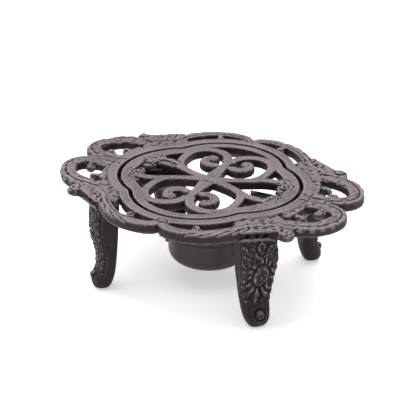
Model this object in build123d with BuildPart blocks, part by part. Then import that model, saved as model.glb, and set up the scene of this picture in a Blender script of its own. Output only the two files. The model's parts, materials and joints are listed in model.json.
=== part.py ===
from build123d import *
import os
from math import cos, radians, sin, sqrt

# Cast-iron teapot warmer: an openwork frame on four cabriole legs, a lift-out
# quatrefoil grate that carries the pot, and a tealight cup hung beneath it.
# Millimetres. +Z is up, X is the long axis, the origin is on the floor under
# the middle of the stand.

# ---- Driving dimensions --------------------------------------------------

stand_height = 63.0          # floor to the pot surface

# Quatrefoil opening of the frame: four lobe circles on the axes, joined by
# four small hollow cusps on the diagonals
lobe_offset = 17.0           # middle of the stand to the middle of a lobe
lobe_radius = 39.5
cusp_radius = 9.0

# Frame
plate_thickness = 6.5
ring_width = 5.8             # flat band round the opening
seat_ledge = 3.0             # how far the seat reaches in under the grate
seat_thickness = 2.3
seat_rim = 2.4               # seat's outer edge outside the opening

end_loop_reach = 28.7        # ring to the tip of an end loop
end_loop_side = 14.0         # long axis to the middle of the loop's tip
end_loop_tip_radius = 13.0
end_loop_root_radius = 12.5
end_loop_root_back = 10.0    # tip circle to root circle, along the stand
end_loop_root_side = 18.0    # the same, across the stand
end_loop_band = 8.7          # iron round the teardrop hole
end_hole_heel_radius = 3.0
end_hole_wall = 3.4          # ring to the heel of the hole
end_hole_heel_y = 23.0
end_notch_reach = 18.0       # ring to the foot of the notch between loops

side_loop_reach = 9.5        # ring to the crest of a side loop
side_crest_radius = 9.0
side_crest_x = 11.0
side_flank_radius = 10.0
side_flank_x = 28.5
side_flank_drop = 4.5        # crest circle down to flank circle
side_notch_reach = 4.0       # ring to the foot of the notch between loops
crest_hole_length = 9.0
crest_hole_width = 4.8
crest_hole_x = 12.0
flank_hole_length = 9.5
flank_hole_width = 5.6
flank_hole_x = 28.0
flank_hole_lean = -34.0      # degrees
side_hole_wall = 1.4         # ring edge to the holes

# Shell at each corner, over a leg
leg_angle = 41.0             # direction of a leg from the long axis, degrees
leg_setout = 10.6            # ring cusp to the middle of a foot
shell_angle = 58.0           # direction the shell faces, degrees
shell_scallops = 4
shell_pitch = 7.4
shell_radius = 7.2
shell_setout = 1.9           # foot out to the row of scallops

# Grate
grate_gap = 2.0              # slot round the grate
grate_thickness = 6.0
seat_clearance = 0.2         # grate to seat
border_width = 5.0           # band at the two heart lobes
border_end_width = 8.0       # band at the two end lobes
heart_stroke = 6.2
heart_lobe_turn = 35.0       # from the border's lobe to the heart's lobe, degrees
heart_bite = 1.55            # heart's lobe into the border
cleft_half = 1.7             # stem's middle to the end of the heart's lobe
heart_side_lean = 52.0       # direction in which a heart's side leaves its bar, degrees
stem_rise = 5.7              # heart lobe's middle up to the stem's end
leaf_stroke = 5.2
leaf_eye_x = 8.4
leaf_drop = 1.7              # heart lobe's middle down to the leaf's eye
leaf_radius = 6.1
leaf_start_angle = -140.0    # where the leaf leaves the stem, degrees
leaf_sweep = 190.0
leaf_ball_radius = 3.6
bar_stroke = 5.2
bar_end_bite = 0.57          # bar's end into the border
bar_end_y = 10.5
bar_crown_back = 7.5         # bar's end back to its crown, along the stand
bar_crown_y = 13.4
bar_waist_back = 22.0        # bar's end back to where the heart's side leaves it
bar_waist_y = 8.8
volute_radius = 4.2

# Legs
knee_width = 23.0
ankle_width = 16.0
knee_drop = 17.0             # frame down to the fullest part of the knee
knee_swell = 5.6             # knee outside the line of the foot
neck_swell = 3.0             # top of the leg outside the same line
shin_swell = 2.6
neck_depth = 13.6            # front to back under the frame
shin_depth = 11.2
leg_wall = 3.2
calf_lean = 0.3              # how far the sides open for each mm up from the ankle
toe_radius = 6.2
toe_set = 1.0                # scroll's middle outside the line of the foot
toe_sink = 0.5               # depth of the scroll cut away to stand flat
foot_flat = 6.0              # flat of a foot on the floor
leg_rounding = 2.4
medallion_height = 15.0
medallion_width = 11.0
medallion_rise = 0.9
leg_head = 4.0               # web across the top of the leg

# Tealight cup
cup_bore_radius = 21.2
cup_wall = 3.4
cup_floor = 2.6
cup_height = 18.5
cup_drop = 33.5              # pot surface down to the rim
cup_bottom_rounding = 7.0
cup_inner_rounding = 1.5
cup_rim_rounding = 1.0

# Hanger straps
strap_thickness = 1.8
strap_width = 24.0
strap_lap = 8.5              # how far a strap laps down the cup
strap_end = 4.4              # flange beyond the screws

# Screws and rivets
screw_radius = 1.5
screw_clearance = 0.2
thread_clearance = 0.05
screw_head_radius = 2.8
screw_head_height = 1.9
slot_width = 0.8
slot_depth = 0.8
hanger_screw_inset = 2.6     # edge of the opening to the hanger screws
hanger_screw_side = 6.0
hanger_screw_bite = 5.0      # length in the frame
leg_screw_setback = 4.4      # middle of the foot in to the leg screw
leg_screw_bite = 4.4
hole_spare = 0.6             # hole's end past the screw's end
rivet_radius = 1.2
rivet_head_radius = 2.2
rivet_head_height = 0.9
rivet_clearance = 0.05
rivet_turn = 17.0            # rivets each side of the strap's middle, degrees
rivet_sink = 0.3             # shank's end short of the bore

# ---- Worked out from them ------------------------------------------------

plate_bottom = stand_height - plate_thickness
grate_bottom = stand_height - grate_thickness
seat_top = grate_bottom - seat_clearance
seat_bottom = seat_top - seat_thickness
ring_reach = lobe_offset + lobe_radius + ring_width
# The cusp circle touches two lobe circles from outside
lobe_to_cusp = lobe_radius + cusp_radius
cusp_distance = (sqrt(2) * lobe_offset + sqrt(4 * lobe_to_cusp**2 - 2 * lobe_offset**2)) / 2
ring_cusp_reach = cusp_distance - cusp_radius + ring_width
leg_circle = ring_cusp_reach + leg_setout
leg_azimuths = {
    "leg_front_left": 180 + leg_angle,
    "leg_front_right": -leg_angle,
    "leg_back_left": 180 - leg_angle,
    "leg_back_right": leg_angle,
}
cup_radius = cup_bore_radius + cup_wall
cup_rim = stand_height - cup_drop
cup_bottom = cup_rim - cup_height
hanger_screw_x = lobe_offset + lobe_radius + hanger_screw_inset
strap_reach = hanger_screw_x + strap_end
strap_radius = cup_radius + strap_thickness
rivet_z = cup_rim - strap_lap / 2
rivet_azimuths = [end + turn for end in (0, 180) for turn in (-rivet_turn, rivet_turn)]
UPRIGHT = (Align.CENTER, Align.CENTER, Align.MIN)
HANGING = (Align.CENTER, Align.CENTER, Align.MAX)


def polar(radius, angle, z=0.0):
    """Point at a radius and an angle from the long axis."""
    return Vector(radius * cos(radians(angle)), radius * sin(radians(angle)), z)


def leg_screw_places(z):
    """The four leg screws' axes at height z."""
    return [polar(leg_circle - leg_screw_setback, a, z) for a in leg_azimuths.values()]


def hanger_screw_places(z):
    """The four hanger screws' axes at height z."""
    return [
        Vector(end * hanger_screw_x, side * hanger_screw_side, z)
        for end in (-1, 1)
        for side in (-1, 1)
    ]


# ---- Outlines shared by the frame and the grate ---------------------------

def quatrefoil(grow):
    """The opening's outline, moved outwards by grow."""
    lobe = lobe_radius + grow
    lobe_middle = Vector(lobe_offset, 0)
    cusp_middle = polar(cusp_distance, 45)
    start = lobe_middle + (cusp_middle - lobe_middle).normalized() * lobe
    bend = polar(cusp_distance - cusp_radius + grow, 45)
    end = Vector(start.Y, start.X)
    crown = Vector(0, lobe_offset + lobe)
    next_start = start.rotate(Axis.Z, 90)
    with BuildSketch() as outline:
        with BuildLine():
            for turn in (0, 90, 180, 270):
                s, b, e, c, n = (p.rotate(Axis.Z, turn) for p in (start, bend, end, crown, next_start))
                ThreePointArc(s, b, e)
                ThreePointArc(e, c, n)
        make_face()
    return outline.sketch


def in_four_quarters(quarter):
    """The first quarter's faces with their mirror images."""
    with BuildSketch() as whole:
        add(quarter)
        mirror(about=Plane.YZ)
        mirror(about=Plane.XZ)
    return whole.sketch


# ---- Frame ----------------------------------------------------------------

tip = Vector(ring_reach + end_loop_reach - end_loop_tip_radius, end_loop_side)
root = tip + Vector(-end_loop_root_back, end_loop_root_side)
crest = Vector(side_crest_x, ring_reach + side_loop_reach - side_crest_radius)
flank = Vector(side_flank_x, crest.Y - side_flank_drop)
shell_middle = polar(leg_circle, leg_angle) + polar(shell_setout, shell_angle)
first_scallop = shell_pitch * (shell_scallops - 1) / 2
scallops = [
    shell_middle + polar(first_scallop - shell_pitch * n, shell_angle - 90)
    for n in range(shell_scallops)
]


def beyond_ring(x, wall):
    """Point at x, wall outside the ring's side lobe."""
    return Vector(x, lobe_offset + sqrt((lobe_radius + ring_width + wall) ** 2 - x**2))


def beyond_end(y, wall):
    """Point at y, wall outside the ring's end lobe."""
    return Vector(lobe_offset + sqrt((lobe_radius + ring_width + wall) ** 2 - y**2), y)


def rounded_loop(*circles):
    """Outline round circles, each given as its middle and radius."""
    with BuildSketch() as loop:
        for middle, radius in circles:
            with Locations(middle):
                Circle(radius)
        make_hull()
    return loop.sketch


with BuildSketch() as plate_quarter:
    add(rounded_loop((tip, end_loop_tip_radius), (root, end_loop_root_radius)))
    add(rounded_loop((crest, side_crest_radius), (flank, side_flank_radius)))
    # Web that carries the loops and the corner shell
    with BuildLine():
        Polyline(
            (0, 0),
            (ring_reach + end_notch_reach, 0),
            tip,
            root,
            *scallops,
            flank,
            crest,
            (0, ring_reach + side_notch_reach),
            close=True,
        )
    make_face()
    with Locations(*scallops):
        Circle(shell_radius)

with BuildSketch() as hole_quarter:
    add(
        rounded_loop(
            (tip, end_loop_tip_radius - end_loop_band),
            (root, end_loop_root_radius - end_loop_band),
            (beyond_end(end_loop_side, end_hole_wall + end_hole_heel_radius), end_hole_heel_radius),
            (beyond_end(end_hole_heel_y, end_hole_wall + end_hole_heel_radius), end_hole_heel_radius),
        )
    )
    with Locations(beyond_ring(crest_hole_x, side_hole_wall + crest_hole_width / 2)):
        SlotOverall(crest_hole_length, crest_hole_width)
    with Locations(beyond_ring(flank_hole_x, side_hole_wall + flank_hole_width / 2)):
        SlotOverall(flank_hole_length, flank_hole_width, rotation=flank_hole_lean)

with BuildPart() as frame:
    with BuildSketch(Plane.XY.offset(plate_bottom)):
        add(in_four_quarters(plate_quarter.sketch))
        add(in_four_quarters(hole_quarter.sketch), mode=Mode.SUBTRACT)
        add(quatrefoil(ring_width))
    extrude(amount=plate_thickness)
    # Seat for the grate, with a pad at each end for a hanger strap
    with BuildSketch(Plane.XY.offset(seat_bottom)):
        add(quatrefoil(seat_rim))
        Rectangle(2 * strap_reach, strap_width)
    extrude(amount=plate_bottom - seat_bottom)
    with BuildSketch(Plane.XY.offset(seat_bottom)):
        add(quatrefoil(-seat_ledge))
    extrude(amount=plate_thickness + plate_bottom - seat_bottom, mode=Mode.SUBTRACT)
    with BuildSketch(Plane.XY.offset(seat_top)):
        add(quatrefoil(0))
    extrude(amount=stand_height - seat_top, mode=Mode.SUBTRACT)
    # Threaded holes for the leg screws and the hanger screws
    with Locations(*leg_screw_places(plate_bottom)):
        Cylinder(
            screw_radius + thread_clearance,
            leg_screw_bite + hole_spare,
            align=UPRIGHT,
            mode=Mode.SUBTRACT,
        )
    with Locations(*hanger_screw_places(seat_bottom)):
        Cylinder(
            screw_radius + thread_clearance,
            hanger_screw_bite + hole_spare,
            align=UPRIGHT,
            mode=Mode.SUBTRACT,
        )
frame.part.label = "frame"


# ---- Grate ----------------------------------------------------------------

border_reach = lobe_radius - grate_gap - border_width
border_end_reach = lobe_radius - grate_gap - border_end_width
# The heart's lobe reaches into the border at its outer side and ends at the cleft
heart_span = cos(radians(heart_lobe_turn))
heart_reach = border_reach - heart_stroke / 2 + heart_bite
heart_lobe_radius = (heart_reach * heart_span - cleft_half) / (1 + heart_span)
heart_lobe = Vector(0, lobe_offset) + polar(heart_reach - heart_lobe_radius, heart_lobe_turn)
leaf_eye = Vector(leaf_eye_x, heart_lobe.Y - leaf_drop)
bar_end_x = lobe_offset + sqrt(border_end_reach**2 - bar_end_y**2) + bar_end_bite
bar_end = Vector(bar_end_x, bar_end_y)
bar_crown = Vector(bar_end_x - bar_crown_back, bar_crown_y)
bar_waist = Vector(bar_end_x - bar_waist_back, bar_waist_y)
lobe_side = heart_lobe + polar(heart_lobe_radius, 0)

with BuildSketch() as grate_quarter:
    with BuildSketch():
        with BuildLine():
            # The heart's side leaves the bar, then its lobe turns over to the cleft
            Spline(bar_waist, lobe_side, tangents=(polar(1, heart_side_lean), (0, 1)))
            CenterArc(heart_lobe, heart_lobe_radius, 0, 180)
        trace(line_width=heart_stroke)
    Rectangle(heart_stroke / 2, heart_lobe.Y + stem_rise, align=Align.MIN)
    with BuildSketch():
        with BuildLine():
            CenterArc(leaf_eye, leaf_radius, leaf_start_angle, leaf_sweep)
        trace(line_width=leaf_stroke)
    with Locations(leaf_eye + polar(leaf_radius, leaf_start_angle + leaf_sweep)):
        Circle(leaf_ball_radius)
    with BuildSketch():
        with BuildLine():
            Spline((0, 0), bar_waist, bar_crown, bar_end)
        trace(line_width=bar_stroke)
    with Locations(bar_end):
        Circle(volute_radius)

with BuildPart() as grate:
    with BuildSketch(Plane.XY.offset(grate_bottom)):
        add(quatrefoil(-grate_gap))
        with GridLocations(0, 2 * lobe_offset, 1, 2):
            Circle(border_reach, mode=Mode.SUBTRACT)
        with GridLocations(2 * lobe_offset, 0, 2, 1):
            Circle(border_end_reach, mode=Mode.SUBTRACT)
        with BuildSketch():
            add(in_four_quarters(grate_quarter.sketch))
            add(quatrefoil(-grate_gap), mode=Mode.INTERSECT)
    extrude(amount=grate_thickness)
grate.part.label = "grate"


# ---- Legs -----------------------------------------------------------------
# A leg is drawn at the origin. +X points out from the stand and the foot
# stands at x = 0. The leg is what its side view and front view share, and
# the circle in the side view is the scroll of its toe.

knee_z = plate_bottom - knee_drop
shin_z = (knee_z + 2 * toe_radius) / 2
pocket_foot = 2 * toe_radius + leg_wall
toe_z = toe_radius - toe_sink


def leg_body(inset, back_out, low, high):
    """Leg from low to high: front and sides moved in by inset, back moved out by back_out."""
    knee, ankle = knee_width / 2 - inset, ankle_width / 2 - inset
    with BuildPart() as body:
        with BuildSketch(Plane.XZ.offset(-knee_width)):
            with BuildLine():
                front = Spline(
                    (foot_flat / 2 - inset, 0),
                    (shin_swell - inset, shin_z),
                    (knee_swell - inset, knee_z),
                    (neck_swell - inset, plate_bottom),
                )
                back = Spline(
                    (neck_swell - neck_depth - back_out, plate_bottom),
                    (shin_swell - shin_depth - back_out, shin_z),
                    (-foot_flat / 2 - back_out, 0),
                )
                Line(front @ 1, back @ 0)
                Line(back @ 1, front @ 0)
            make_face()
            with Locations((toe_set, toe_z)):
                Circle(toe_radius)
        extrude(amount=2 * knee_width)
        with BuildSketch(Plane.YZ.offset(-knee_width)):
            with BuildLine():
                right = Spline(
                    (foot_flat / 2, 0), (ankle, toe_z), tangents=((1, 0), (calf_lean, 1))
                )
                calf = Spline(right @ 1, (knee, knee_z), tangents=((calf_lean, 1), (0, 1)))
                top = Polyline(calf @ 1, (knee, plate_bottom), (-knee, plate_bottom), (-knee, knee_z))
                other = Spline(top @ 1, (-ankle, toe_z), tangents=((0, -1), (calf_lean, -1)))
                left = Spline(other @ 1, (-foot_flat / 2, 0), tangents=((calf_lean, -1), (1, 0)))
                Line(left @ 1, right @ 0)
            make_face()
        extrude(amount=2 * knee_width, mode=Mode.INTERSECT)
        with Locations((0, 0, low)):
            Box(4 * knee_width, 4 * knee_width, high - low, align=UPRIGHT, mode=Mode.INTERSECT)
    return body.part


leg_blank = leg_body(0, 0, 0, plate_bottom)
leg_pocket = leg_body(leg_wall, leg_wall, pocket_foot, plate_bottom - leg_head)

with BuildPart() as leg:
    add(leg_blank)
    front_corners = leg.edges().filter_by(Axis.Y, reverse=True)
    fillet(front_corners.filter_by(lambda e: e.center().X > foot_flat / 4), leg_rounding)
    # Medallion on the knee
    with BuildSketch(Plane.YZ):
        with Locations((0, knee_z)):
            Ellipse(medallion_width / 2, medallion_height / 2)
    extrude(amount=knee_swell + medallion_rise)
    # The back of the leg is hollow between its head and its ankle
    add(leg_pocket, mode=Mode.SUBTRACT)
    with Locations((-leg_screw_setback, 0, plate_bottom)):
        Cylinder(screw_radius + screw_clearance, leg_head, align=HANGING, mode=Mode.SUBTRACT)

legs = {}
for leg_name, azimuth in leg_azimuths.items():
    with BuildPart() as stood_leg:
        with Locations(Location(polar(leg_circle, azimuth), (0, 0, azimuth))):
            add(leg.part)
    stood_leg.part.label = leg_name
    legs[leg_name] = stood_leg.part


# ---- Tealight cup and its hanger straps ------------------------------------

with BuildPart() as tealight_cup:
    with Locations((0, 0, cup_bottom)):
        Cylinder(cup_radius, cup_height, align=UPRIGHT)
    fillet(tealight_cup.faces().sort_by(Axis.Z)[0].edges(), cup_bottom_rounding)
    with Locations((0, 0, cup_rim)):
        Cylinder(cup_bore_radius, cup_height - cup_floor, align=HANGING, mode=Mode.SUBTRACT)
    inner_floor = tealight_cup.faces().filter_by(Plane.XY).sort_by(Axis.Z)[1]
    fillet(inner_floor.edges(), cup_inner_rounding)
    fillet(tealight_cup.faces().sort_by(Axis.Z)[-1].edges(), cup_rim_rounding)
    # Rivet holes through the wall, under both straps
    for azimuth in rivet_azimuths:
        with Locations(Location((0, 0, rivet_z), (0, 0, azimuth))):
            Cylinder(
                rivet_radius + rivet_clearance,
                2 * cup_radius,
                rotation=(0, 90, 0),
                align=UPRIGHT,
                mode=Mode.SUBTRACT,
            )
tealight_cup.part.label = "tealight_cup"

# Each strap is a tongue curved to the cup's wall, bent out flat under the frame
straps = {}
for strap_name, end in {"hanger_left": 180, "hanger_right": 0}.items():
    with BuildPart() as strap:
        with BuildSketch(Plane.XY.offset(cup_rim - strap_lap)):
            Circle(strap_radius)
            Circle(cup_radius, mode=Mode.SUBTRACT)
            Rectangle(strap_radius, strap_width, align=(Align.MIN, Align.CENTER), mode=Mode.INTERSECT)
        extrude(amount=seat_bottom - cup_rim + strap_lap)
        with BuildSketch(Plane.XY.offset(seat_bottom)):
            Rectangle(strap_reach, strap_width, align=(Align.MIN, Align.CENTER))
            Circle(cup_radius, mode=Mode.SUBTRACT)
        extrude(amount=-strap_thickness)
        with Locations(*[(hanger_screw_x, y, seat_bottom) for y in (-hanger_screw_side, hanger_screw_side)]):
            Cylinder(
                screw_radius + screw_clearance, strap_thickness, align=HANGING, mode=Mode.SUBTRACT
            )
        with Locations(*[Location((0, 0, rivet_z), (0, 0, a)) for a in (-rivet_turn, rivet_turn)]):
            Cylinder(
                rivet_radius + rivet_clearance,
                2 * cup_radius,
                rotation=(0, 90, 0),
                align=UPRIGHT,
                mode=Mode.SUBTRACT,
            )
    with BuildPart() as hung_strap:
        with Locations(Location((0, 0, 0), (0, 0, end))):
            add(strap.part)
    hung_strap.part.label = strap_name
    straps[strap_name] = hung_strap.part


# ---- Screws and rivets -----------------------------------------------------

def screw(length):
    """Slotted screw that points up, with the seat of its head at the origin."""
    with BuildPart() as body:
        Cylinder(screw_head_radius, screw_head_height, align=HANGING)
        fillet(body.faces().sort_by(Axis.Z)[0].edges(), screw_head_height / 3)
        with Locations((0, 0, -screw_head_height)):
            Box(2 * screw_head_radius, slot_width, slot_depth, align=UPRIGHT, mode=Mode.SUBTRACT)
        Cylinder(screw_radius, length, align=UPRIGHT)
    return body.part


leg_screw = screw(leg_head + leg_screw_bite)
with BuildPart() as leg_screws:
    with Locations(*leg_screw_places(plate_bottom - leg_head)):
        add(leg_screw)
leg_screws.part.label = "leg_screws"

hanger_screw = screw(strap_thickness + hanger_screw_bite)
with BuildPart() as hanger_screws:
    with Locations(*hanger_screw_places(seat_bottom - strap_thickness)):
        add(hanger_screw)
hanger_screws.part.label = "hanger_screws"

# A rivet's shank ends flush inside the bore; its head is outside the strap
with BuildPart() as rivet:
    with BuildSketch(Plane.YZ.offset(cup_bore_radius + rivet_sink)):
        Circle(rivet_radius)
    extrude(amount=strap_radius - cup_bore_radius - rivet_sink)
    with BuildSketch(Plane.YZ.offset(strap_radius)):
        Circle(rivet_head_radius)
    extrude(amount=rivet_head_height)
    fillet(rivet.faces().sort_by(Axis.X)[-1].edges(), rivet_head_height / 2)

with BuildPart() as cup_rivets:
    with Locations(*[Location((0, 0, rivet_z), (0, 0, a)) for a in rivet_azimuths]):
        add(rivet.part)
cup_rivets.part.label = "cup_rivets"


# ---- Files -----------------------------------------------------------------

pieces = [frame.part, grate.part, *legs.values(), tealight_cup.part, *straps.values()]
pieces += [leg_screws.part, hanger_screws.part, cup_rivets.part]
os.makedirs("parts", exist_ok=True)
for piece in pieces:
    export_step(piece, f"parts/{piece.label}.step")
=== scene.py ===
import json
from math import atan2, cos, degrees, pi, radians, sin, sqrt

import bpy
import numpy as np
from bpy.props import FloatProperty, FloatVectorProperty, PointerProperty
from mathutils import Matrix, Vector


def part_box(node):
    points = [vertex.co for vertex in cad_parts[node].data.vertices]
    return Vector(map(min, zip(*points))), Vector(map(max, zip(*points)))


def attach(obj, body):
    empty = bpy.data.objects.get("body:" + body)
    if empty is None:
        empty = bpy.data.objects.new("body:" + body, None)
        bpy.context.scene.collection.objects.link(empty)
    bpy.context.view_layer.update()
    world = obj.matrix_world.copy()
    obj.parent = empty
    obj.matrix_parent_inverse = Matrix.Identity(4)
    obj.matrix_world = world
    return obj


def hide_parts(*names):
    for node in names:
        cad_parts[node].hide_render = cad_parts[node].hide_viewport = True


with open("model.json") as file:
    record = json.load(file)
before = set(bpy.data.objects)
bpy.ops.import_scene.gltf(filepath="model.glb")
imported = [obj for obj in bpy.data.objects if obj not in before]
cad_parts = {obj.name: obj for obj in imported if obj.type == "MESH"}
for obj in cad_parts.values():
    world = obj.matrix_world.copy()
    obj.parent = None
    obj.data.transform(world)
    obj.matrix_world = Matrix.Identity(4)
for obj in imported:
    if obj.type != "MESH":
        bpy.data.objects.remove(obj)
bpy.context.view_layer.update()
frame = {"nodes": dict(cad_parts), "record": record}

bl_info = {
    "name": "Cast-iron teapot warmer",
    "version": (1, 0, 0),
    "blender": (4, 5, 0),
    "location": "View3D > Sidebar > Warmer",
    "description": "Builds the castings, fittings and stage of a teapot warmer",
    "category": "Object",
}

MM = 0.001


# ---- Sizes read from the frame, in millimetres -------------------------------

def node_box(name):
    """Lowest and highest corners of a node."""
    low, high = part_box(name)
    return np.array(low) / MM, np.array(high) / MM


FRAME_LOW, FRAME_HIGH = node_box("frame")
GRATE_LOW, GRATE_HIGH = node_box("grate")
_, LEG_HIGH = node_box("leg_front_right")
TOP = FRAME_HIGH[2]
GRATE_BOTTOM = GRATE_LOW[2]
SEAT_BOTTOM = FRAME_LOW[2]
PLATE_BOTTOM = LEG_HIGH[2]
FOOT = next(m["pos_m"] for m in frame["record"]["mounts"] if m["name"] == "foot")
LEG_ANGLE = degrees(atan2(abs(FOOT[1]), FOOT[0]))
LEG_CIRCLE = sqrt(FOOT[0] ** 2 + FOOT[1] ** 2) / MM
LEG_PLACES = {
    "leg_front_right": -LEG_ANGLE,
    "leg_front_left": 180 + LEG_ANGLE,
    "leg_back_left": 180 - LEG_ANGLE,
    "leg_back_right": LEG_ANGLE,
}


# ---- Settings ------------------------------------------------------------------

def size(name, text, default):
    """A setting in millimetres."""
    return FloatProperty(name=name, description=text + ", in millimetres", default=default, min=0.0)


def colour(name, text, default):
    """A colour setting, in linear light."""
    return FloatVectorProperty(
        name=name, description=text, subtype="COLOR", size=3, default=default, min=0.0, max=1.0
    )


class CastingSettings(bpy.types.PropertyGroup):
    """Sizes of the castings"""

    lobe_offset: size("Lobe offset", "Middle of the stand to the middle of a lobe", 17.0)
    cusp_radius: size("Cusp radius", "Radius of the opening's cusps", 9.0)
    ring_width: size("Ring width", "Flat band round the opening", 5.8)
    gap: size("Gap", "Slot round the grate", 2.0)
    ledge: size("Seat ledge", "Seat's reach under the grate", 4.2)
    seat_rim: size("Seat rim", "Seat's reach under the ring", 2.4)
    seat: size("Seat", "Thickness of the seat", 2.3)
    wall: size("Leg wall", "Wall of the hollow leg", 3.2)
    frame_mesh: size("Frame mesh", "Mesh size that fuses the frame", 0.62)
    grate_mesh: size("Grate mesh", "Mesh size that fuses the grate", 0.5)
    leg_mesh: size("Leg mesh", "Mesh size that fuses a leg", 0.42)
    grain: size("Sand grain", "Depth of the sand texture", 0.13)


class FinishSettings(bpy.types.PropertyGroup):
    """Colours of the finishes"""

    # Face and Side are lit and shaded copies of one coating: Face is painted light on faces that look up,
    # Side is painted shade on the sides and also darkens random blotches.
    face: colour("Face", "Rubbed iron on upper faces", (0.186, 0.148, 0.158))
    side: colour("Side", "Coated iron on the sides", (0.017, 0.0095, 0.012))
    # Painted shade laid in the hollows; the same dark colour also marks the fine specks and the pits.
    pits_and_hollow_shade: colour("Recess", "Coating lying thick in the hollows", (0.008, 0.004, 0.005))
    # Worn edges where the coating is thin, with a painted highlight on them.
    edge_wear_and_highlight: colour("Rub", "Edges where the coating is thin", (0.235, 0.198, 0.206))
    smooth: colour("Smooth parts", "Cup and straps", (0.030, 0.015, 0.018))
    screw: colour("Fasteners", "Screws and rivets", (0.060, 0.050, 0.050))
    floor: colour("Floor", "Floor under the stand", (0.86, 0.86, 0.86))


class StageSettings(bpy.types.PropertyGroup):
    """Where the camera stands"""

    elevation: FloatProperty(
        name="Elevation", description="Camera above the floor", subtype="ANGLE", default=radians(26.13)
    )
    azimuth: FloatProperty(
        name="Azimuth", description="Camera round to the right", subtype="ANGLE", default=radians(24.8)
    )
    roll: FloatProperty(
        name="Roll", description="Camera's turn about its axis", subtype="ANGLE", default=radians(-0.56)
    )
    distance: FloatProperty(
        name="Distance", description="Camera to the grate", subtype="DISTANCE", default=0.6986
    )
    aside: FloatProperty(name="Aside", description="View moved aside", subtype="DISTANCE", default=-0.0005)
    above: FloatProperty(name="Above", description="View moved up", subtype="DISTANCE", default=0.0190)
    lens: FloatProperty(name="Lens", description="Focal length in millimetres", default=101.2)


# ---- Surfaces --------------------------------------------------------------------

def power(value, exponent):
    """Signed power: it turns a circle's sine and cosine into a rounded square's."""
    return np.sign(value) * np.abs(value) ** exponent


def ramp(value, low, high):
    """0 below low, 1 above high, and 3u^2 - 2u^3 between them."""
    u = np.clip((value - low) / (high - low), 0, 1)
    return u * u * (3 - 2 * u)


def dip(value, width):
    """A bell 1 high at 0 and falling as exp(-(value / width)^2)."""
    return np.exp(-((value / width) ** 2))


def smooth_path(rows, samples=60):
    """Catmull-Rom curve through rows: between two rows, the cubic whose slope at each
    is half the step between that row's neighbours."""
    rows = np.asarray(rows, float)
    rows = np.vstack([2 * rows[:1] - rows[1:2], rows, 2 * rows[-1:] - rows[-2:-1]])
    t = np.linspace(0, len(rows) - 3, samples)
    k = np.minimum(t.astype(int), len(rows) - 4)
    u = (t - k)[:, None]
    a, b, c, d = rows[k], rows[k + 1], rows[k + 2], rows[k + 3]
    return 0.5 * (
        2 * b + (c - a) * u + (2 * a - 5 * b + 4 * c - d) * u**2 + (3 * b - a - 3 * c + d) * u**3
    )


def arc(centre, radius, start, stop, samples=40):
    """Points at a radius round centre, from one angle to another in degrees."""
    angle = np.radians(np.linspace(start, stop, samples))
    return np.stack([centre[0] + radius * np.cos(angle), centre[1] + radius * np.sin(angle)], axis=1)


def lattice(rows, columns, loop=False):
    """Quads between the rows of a grid whose columns close on themselves."""
    r = np.arange(rows if loop else rows - 1)[:, None]
    c = np.arange(columns)[None, :]
    nr, nc = (r + 1) % rows, (c + 1) % columns
    corners = [r * columns + c, r * columns + nc, nr * columns + nc, nr * columns + c]
    quads = np.stack(np.broadcast_arrays(*corners), axis=-1).reshape(-1, 4).tolist()
    if not loop:
        last = (rows - 1) * columns
        quads += [list(range(columns))[::-1], list(range(last, last + columns))]
    return quads


def bar(path, bottom, square=(0.7, 0.7), loop=False, sides=28):
    """Bar carried along a path of (x, y, half width, drop), drop being how far its back
    lies under the stand's top. Its section is a rounded square: half width * cos^p
    across, half height * sin^q upwards. At an open end both shrink by sqrt(1 - s^2),
    s being how far past the last half width it is."""
    path = np.asarray(path, float)
    xy, half, top = path[:, :2], path[:, 2], TOP - path[:, 3]
    step = np.roll(xy, -1, axis=0) - np.roll(xy, 1, axis=0) if loop else np.gradient(xy, axis=0)
    step = step / np.linalg.norm(step, axis=1, keepdims=True)
    across = np.stack([-step[:, 1], step[:, 0]], axis=1)
    shrink = np.ones(len(xy))
    if not loop:
        run = np.concatenate([[0], np.cumsum(np.linalg.norm(np.diff(xy, axis=0), axis=1))])
        left = np.clip(np.minimum(run, run[-1] - run) / half, 0.01, 1)
        shrink = np.sqrt(1 - (1 - left) ** 2)
    angle = np.linspace(0, 2 * pi, sides, endpoint=False)
    side = (half * shrink)[:, None] * power(np.cos(angle), square[0])
    points = np.empty((len(xy), sides, 3))
    points[..., :2] = xy[:, None, :] - side[..., None] * across[:, None, :]
    rise = ((top - bottom) / 2 * shrink)[:, None] * power(np.sin(angle), square[1])
    points[..., 2] = ((top + bottom) / 2)[:, None] + rise
    return points.reshape(-1, 3), lattice(len(xy), sides, loop)


def smooth_bar(rows, bottom, square=(0.7, 0.7), samples=60):
    """Bar along the smooth path through rows."""
    return bar(smooth_path(rows, samples), bottom, square)


def lump(centre, radii, turn=0.0, square=(1.0, 1.0), rings=22, sides=32):
    """Superellipsoid: radii times cos^p and sin^q of its longitude and latitude,
    turned about the vertical."""
    latitude = np.linspace(-pi / 2, pi / 2, rings)[:, None] * 0.998
    longitude = np.linspace(0, 2 * pi, sides, endpoint=False)[None, :]
    ring = power(np.cos(latitude), square[1])
    x = radii[0] * ring * power(np.cos(longitude), square[0])
    y = radii[1] * ring * power(np.sin(longitude), square[0])
    z = radii[2] * power(np.sin(latitude), square[1]) * np.ones_like(longitude)
    points = np.stack([x, y, z], axis=-1).reshape(-1, 3)
    return turned(points, turn) + np.asarray(centre, float), lattice(rings, sides)


def turned(points, angle):
    """Points turned about the vertical through the origin."""
    c, s = cos(radians(angle)), sin(radians(angle))
    return points @ np.array([[c, s, 0], [-s, c, 0], [0, 0, 1]])


def mirrored(shapes, x, y):
    """Shapes reflected in X, Y or both, with their faces still outwards."""
    return [
        (points * (x, y, 1), [f[::-1] for f in faces] if x * y < 0 else faces)
        for points, faces in shapes
    ]


def four_quarters(shapes):
    """Shapes of the first quarter and their mirror images."""
    return [shape for x in (1, -1) for y in (1, -1) for shape in mirrored(shapes, x, y)]


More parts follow.
